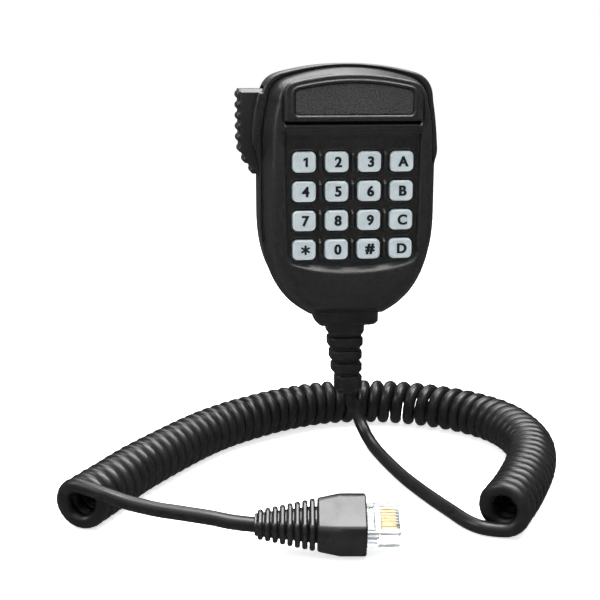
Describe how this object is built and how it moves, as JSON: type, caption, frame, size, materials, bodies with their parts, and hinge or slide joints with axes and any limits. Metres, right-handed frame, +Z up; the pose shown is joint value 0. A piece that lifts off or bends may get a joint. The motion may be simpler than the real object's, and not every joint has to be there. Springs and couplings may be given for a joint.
{
  "type": "hand microphone",
  "caption": "Hand microphone with a keypad, a side talk lever, a rear hanger button and a curly cord ending in a clear modular plug.",
  "frame": {"origin": "centre of the flat outer face of the hanger button, on the back of the case", "axes": "+Y out of the back of the case, +Z up toward the top of the case, +X to the right seen from the keypad side; the keypad faces -Y and the cord leaves toward -Z"},
  "size_m": [0.1696, 0.1378, 0.14],
  "materials": {
    "case_black": "fine-textured black ABS",
    "plate_black": "fine-textured charcoal label plate, blank",
    "rubber_black": "soft-touch black",
    "relief_black": "satin black flexible PVC",
    "key_grey": "translucent pale grey silicone with black legends",
    "mat_grey": "matt silicone",
    "film": "satin polyester film",
    "board_green": "green solder mask",
    "chip_black": "moulded epoxy",
    "nylon": "natural nylon",
    "steel": "zinc-plated",
    "cord_black": "semi-gloss PVC jacket",
    "boot_black": "glossy moulded PVC",
    "clear_plastic": "clear polycarbonate",
    "contact_gold": "gold-plated",
    "ribbon": "white insulated wires"
  },
  "bodies": {
    "microphone": {"front_case": "case_black", "rear_case": "case_black", "name_plate": "plate_black", "keypad_mat": "mat_grey", "dome_sheet": "film", "keypad_board": "board_green", "tone_encoder_chip": "chip_black", "board_connector": "nylon", "board_screw_1": "steel", "board_screw_2": "steel", "microphone_capsule": "steel", "capsule_holder": "rubber_black", "ptt_pivot_pin": "steel", "ptt_switch": "chip_black", "hanger_collar": "case_black", "hanger_button": "case_black", "hanger_screw": "steel", "case_screw_1": "steel", "case_screw_2": "steel", "case_screw_3": "steel", "case_screw_4": "steel", "strain_relief": "relief_black", "cord_clamp": "steel", "wire_harness": "ribbon", "cord_lead": "cord_black", "cord_coil": "cord_black", "cord_tail": "cord_black", "plug_boot": "boot_black", "plug_housing": "clear_plastic", "plug_contact_1": "contact_gold", "plug_contact_2": "contact_gold", "plug_contact_3": "contact_gold", "plug_contact_4": "contact_gold", "plug_contact_5": "contact_gold", "plug_contact_6": "contact_gold", "plug_contact_7": "contact_gold", "plug_contact_8": "contact_gold", "plug_wire_ribbon": "ribbon"},
    "key_1_body": {"key_1": "key_grey"},
    "key_2_body": {"key_2": "key_grey"},
    "key_3_body": {"key_3": "key_grey"},
    "key_a_body": {"key_a": "key_grey"},
    "key_4_body": {"key_4": "key_grey"},
    "key_5_body": {"key_5": "key_grey"},
    "key_6_body": {"key_6": "key_grey"},
    "key_b_body": {"key_b": "key_grey"},
    "key_7_body": {"key_7": "key_grey"},
    "key_8_body": {"key_8": "key_grey"},
    "key_9_body": {"key_9": "key_grey"},
    "key_c_body": {"key_c": "key_grey"},
    "key_star_body": {"key_star": "key_grey"},
    "key_0_body": {"key_0": "key_grey"},
    "key_hash_body": {"key_hash": "key_grey"},
    "key_d_body": {"key_d": "key_grey"},
    "ptt_lever_body": {"ptt_lever": "rubber_black"},
    "ptt_plunger_body": {"ptt_switch_plunger": "nylon"},
    "plug_latch_body": {"plug_latch": "clear_plastic"}
  },
  "joints": [
    {"name": "key_1_press", "type": "slide", "parent": "microphone", "child": "key_1_body", "axis": [0, 1, 0], "range_m": [0, 0.0008], "stiffness_N_per_m": 300, "springref_m": -0.0008},
    {"name": "key_2_press", "type": "slide", "parent": "microphone", "child": "key_2_body", "axis": [0, 1, 0], "range_m": [0, 0.0008], "stiffness_N_per_m": 300, "springref_m": -0.0008},
    {"name": "key_3_press", "type": "slide", "parent": "microphone", "child": "key_3_body", "axis": [0, 1, 0], "range_m": [0, 0.0008], "stiffness_N_per_m": 300, "springref_m": -0.0008},
    {"name": "key_a_press", "type": "slide", "parent": "microphone", "child": "key_a_body", "axis": [0, 1, 0], "range_m": [0, 0.0008], "stiffness_N_per_m": 300, "springref_m": -0.0008},
    {"name": "key_4_press", "type": "slide", "parent": "microphone", "child": "key_4_body", "axis": [0, 1, 0], "range_m": [0, 0.0008], "stiffness_N_per_m": 300, "springref_m": -0.0008},
    {"name": "key_5_press", "type": "slide", "parent": "microphone", "child": "key_5_body", "axis": [0, 1, 0], "range_m": [0, 0.0008], "stiffness_N_per_m": 300, "springref_m": -0.0008},
    {"name": "key_6_press", "type": "slide", "parent": "microphone", "child": "key_6_body", "axis": [0, 1, 0], "range_m": [0, 0.0008], "stiffness_N_per_m": 300, "springref_m": -0.0008},
    {"name": "key_b_press", "type": "slide", "parent": "microphone", "child": "key_b_body", "axis": [0, 1, 0], "range_m": [0, 0.0008], "stiffness_N_per_m": 300, "springref_m": -0.0008},
    {"name": "key_7_press", "type": "slide", "parent": "microphone", "child": "key_7_body", "axis": [0, 1, 0], "range_m": [0, 0.0008], "stiffness_N_per_m": 300, "springref_m": -0.0008},
    {"name": "key_8_press", "type": "slide", "parent": "microphone", "child": "key_8_body", "axis": [0, 1, 0], "range_m": [0, 0.0008], "stiffness_N_per_m": 300, "springref_m": -0.0008},
    {"name": "key_9_press", "type": "slide", "parent": "microphone", "child": "key_9_body", "axis": [0, 1, 0], "range_m": [0, 0.0008], "stiffness_N_per_m": 300, "springref_m": -0.0008},
    {"name": "key_c_press", "type": "slide", "parent": "microphone", "child": "key_c_body", "axis": [0, 1, 0], "range_m": [0, 0.0008], "stiffness_N_per_m": 300, "springref_m": -0.0008},
    {"name": "key_star_press", "type": "slide", "parent": "microphone", "child": "key_star_body", "axis": [0, 1, 0], "range_m": [0, 0.0008], "stiffness_N_per_m": 300, "springref_m": -0.0008},
    {"name": "key_0_press", "type": "slide", "parent": "microphone", "child": "key_0_body", "axis": [0, 1, 0], "range_m": [0, 0.0008], "stiffness_N_per_m": 300, "springref_m": -0.0008},
    {"name": "key_hash_press", "type": "slide", "parent": "microphone", "child": "key_hash_body", "axis": [0, 1, 0], "range_m": [0, 0.0008], "stiffness_N_per_m": 300, "springref_m": -0.0008},
    {"name": "key_d_press", "type": "slide", "parent": "microphone", "child": "key_d_body", "axis": [0, 1, 0], "range_m": [0, 0.0008], "stiffness_N_per_m": 300, "springref_m": -0.0008},
    {"name": "ptt_press", "type": "hinge", "parent": "microphone", "child": "ptt_lever_body", "pos_m": [-0.0286, -0.0142, -0.0015], "axis": [0, 1, 0], "range_deg": [0, 4], "stiffness_Nm_per_rad": 0.5, "springref_deg": -3.44},
    {"name": "ptt_plunger_slide", "type": "slide", "parent": "microphone", "child": "ptt_plunger_body", "axis": [1, 0, 0], "range_m": [0, 0.0014]},
    {"name": "plug_latch_flex", "type": "hinge", "parent": "microphone", "child": "plug_latch_body", "pos_m": [-0.00066, -0.11373, -0.09934], "axis": [0.1126, 0.8673, 0.4848], "range_deg": [0, 5], "stiffness_Nm_per_rad": 0.1, "springref_deg": -1.72}
  ],
  "couplings": [
    {"joint": "ptt_plunger_slide", "follows": "ptt_press", "m_per_rad": 0.018}
  ]
}
